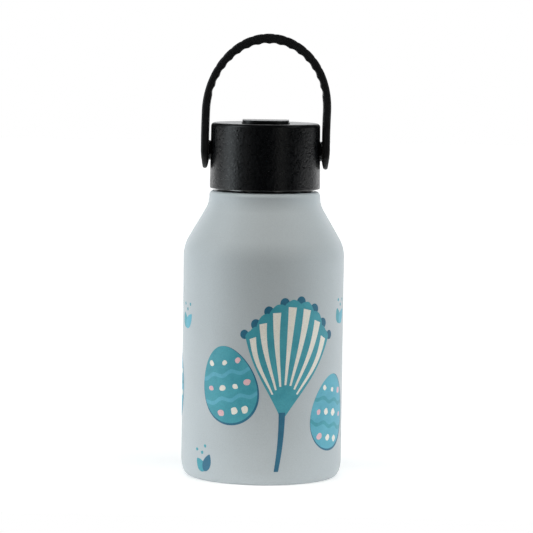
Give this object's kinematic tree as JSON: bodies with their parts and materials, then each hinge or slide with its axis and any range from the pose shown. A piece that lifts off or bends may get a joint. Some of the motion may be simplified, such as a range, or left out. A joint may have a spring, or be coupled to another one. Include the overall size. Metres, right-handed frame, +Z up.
{
  "type": "kids water bottle",
  "caption": "Insulated steel drinking bottle for a child with a conical shoulder, a screw lid with a fold-away straw spout, and a swinging carry loop.",
  "frame": {"origin": "centre of the base on the bottle's axis, at the height of the surface it stands on", "axes": "+Z up along the bottle's axis, -Y towards the front where the spout's mouthpiece lies, X through the carry loop's two pivots"},
  "size_m": [0.073, 0.073, 0.2003],
  "materials": {
    "powder_coat": "matte powder coat, pale blue-grey",
    "bare_steel": "satin stainless steel",
    "solder_glass": "fused grey bead",
    "getter_metal": "sintered metal",
    "straw_plastic": "milky translucent plastic",
    "silicone": "milky silicone",
    "lid_plastic": "black, fine spark-eroded texture",
    "liner_plastic": "black, smooth satin",
    "spout_plastic": "black satin",
    "mouthpiece_silicone": "soft black silicone",
    "loop_rubber": "soft black elastomer",
    "rivet_plastic": "black"
  },
  "bodies": {
    "bottle": {"outer_shell": "powder_coat", "outer_base": "bare_steel", "base_cover": "bare_steel", "vacuum_seal": "solder_glass", "getter": "getter_metal", "inner_vessel": "bare_steel", "inner_bottom": "bare_steel"},
    "straw_body": {"straw": "straw_plastic"},
    "gasket": {"neck_gasket": "silicone"},
    "lid": {"lid_shell": "lid_plastic", "lid_liner": "liner_plastic", "spout_seat": "silicone", "air_valve": "silicone", "loop_rivets": "rivet_plastic"},
    "spout": {"spout_arm": "spout_plastic", "mouthpiece": "mouthpiece_silicone"},
    "loop": {"carry_loop": "loop_rubber"}
  },
  "joints": [
    {"name": "lid_lift", "type": "slide", "parent": "bottle", "child": "straw_body", "axis": [0, 0, 1], "range_m": [0, 0.15]},
    {"name": "lid_rise", "type": "slide", "parent": "straw_body", "child": "gasket", "axis": [0, 0, 1], "range_m": [0, 0.0037]},
    {"name": "lid_turn", "type": "hinge", "parent": "gasket", "child": "lid", "pos_m": [0, 0, 0.137], "axis": [0, 0, 1], "range_deg": [0, 330]},
    {"name": "spout_flip", "type": "hinge", "parent": "lid", "child": "spout", "pos_m": [0, 0, 0.1549], "axis": [-1, 0, 0], "range_deg": [0, 90]},
    {"name": "loop_swing", "type": "hinge", "parent": "lid", "child": "loop", "pos_m": [0, 0, 0.1475], "axis": [1, 0, 0], "range_deg": [-125, 125]}
  ],
  "couplings": [
    {"joint": "lid_rise", "follows": "lid_turn", "m_per_rad": 0.00063662}
  ]
}
